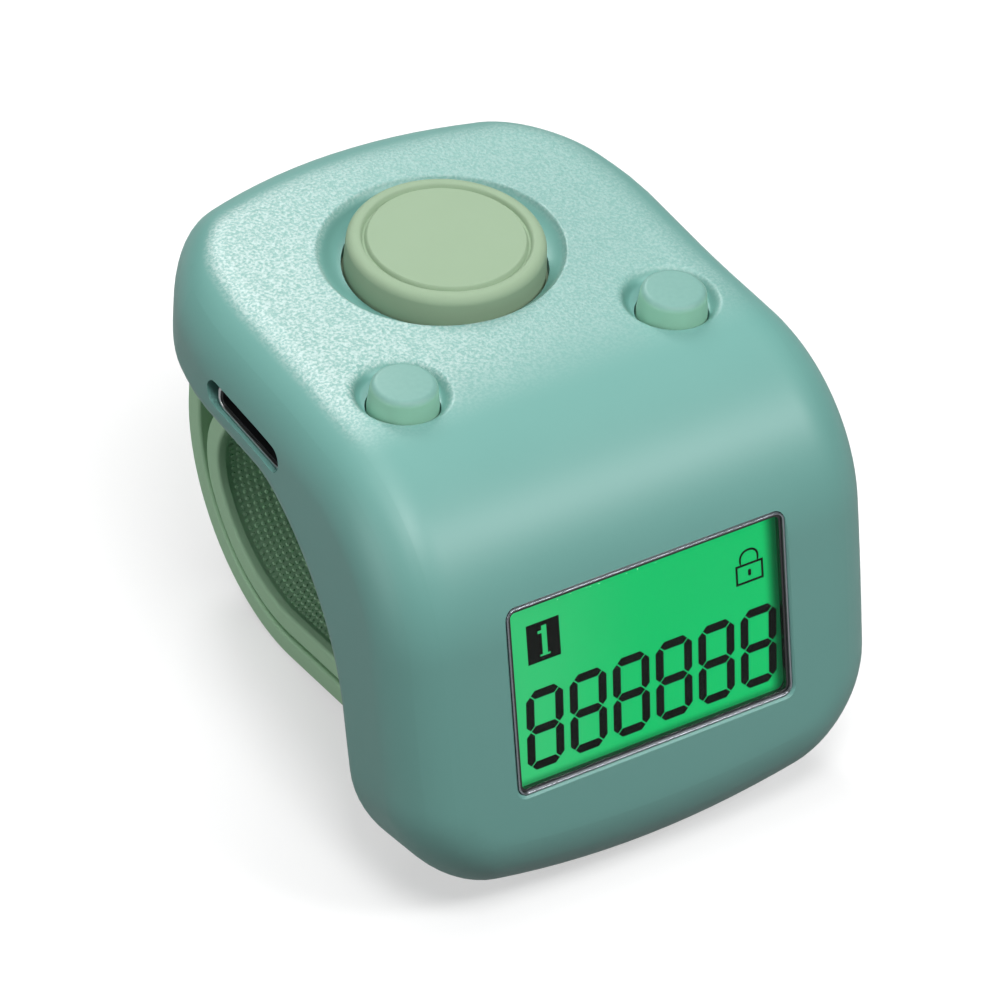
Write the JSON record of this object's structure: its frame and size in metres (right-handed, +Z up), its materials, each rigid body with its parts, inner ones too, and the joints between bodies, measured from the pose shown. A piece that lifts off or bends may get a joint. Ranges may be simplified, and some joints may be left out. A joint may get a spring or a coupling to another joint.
{
  "type": "finger-ring digital tally counter",
  "caption": "Bent ring-shaped case with a large count button, small reset and mode buttons, a backlit display, a charging port and a silicone finger strap.",
  "frame": {"origin": "bottom centre of the bounding box, on the surface that the counter stands on", "axes": "+Z up, square to the flat top with the buttons; -Y towards the display side; +X across the finger"},
  "size_m": [0.03, 0.0368, 0.0262],
  "materials": {
    "case_plastic": "fine-grained satin teal plastic",
    "button_silicone": "matte sage silicone",
    "strap_silicone": "matte sage silicone",
    "steel": "plain bright steel",
    "dark_plastic": "matte black moulding",
    "pale_plastic": "pale translucent moulding",
    "circuit_board": "green solder mask",
    "clear_lens": "clear polished acrylic",
    "black_rubber": "matte black rubber",
    "display": "green backlit segment display",
    "battery_foil": "dull foil pouch",
    "red_wire": "red insulation",
    "amber_film": "amber flexible film"
  },
  "bodies": {
    "case": {"upper_shell": "case_plastic", "lower_cover": "case_plastic", "case_screw_1": "steel", "case_screw_2": "steel", "case_screw_3": "steel", "case_screw_4": "steel", "count_switch_body": "dark_plastic", "reset_switch_body": "dark_plastic", "mode_switch_body": "dark_plastic", "main_board": "circuit_board", "controller_chip": "dark_plastic", "charge_chip": "dark_plastic", "crystal_can": "steel", "port_shell": "steel", "port_tongue": "dark_plastic", "display_lens": "clear_lens", "display_gasket": "black_rubber", "display_cell": "display", "backlight_panel": "pale_plastic", "backlight_led": "pale_plastic", "contact_strip_top": "black_rubber", "contact_strip_bottom": "black_rubber", "display_board": "circuit_board", "battery_pad": "pale_plastic", "battery_cell": "battery_foil", "battery_lead_red": "red_wire", "battery_lead_black": "black_rubber", "display_ribbon": "amber_film", "rear_strap_pin": "steel", "front_strap_pin": "steel", "strap_inner": "strap_silicone"},
    "count": {"count_button": "button_silicone", "count_switch_plunger": "pale_plastic"},
    "reset": {"reset_button": "case_plastic", "reset_switch_plunger": "pale_plastic"},
    "mode": {"mode_button": "case_plastic", "mode_switch_plunger": "pale_plastic"},
    "strap": {"strap_outer": "strap_silicone", "strap_stud": "steel"}
  },
  "joints": [
    {"name": "count_press", "type": "slide", "parent": "case", "child": "count", "axis": [0, 0, -1], "range_m": [0, 0.0004], "stiffness_N_per_m": 400},
    {"name": "reset_press", "type": "slide", "parent": "case", "child": "reset", "axis": [0, 0, -1], "range_m": [0, 0.0004], "stiffness_N_per_m": 400},
    {"name": "mode_press", "type": "slide", "parent": "case", "child": "mode", "axis": [0, 0, -1], "range_m": [0, 0.0004], "stiffness_N_per_m": 400},
    {"name": "strap_release", "type": "hinge", "parent": "case", "child": "strap", "pos_m": [0, 0.01339, 0.01674], "axis": [1, 0, 0], "range_deg": [0, 55]}
  ]
}
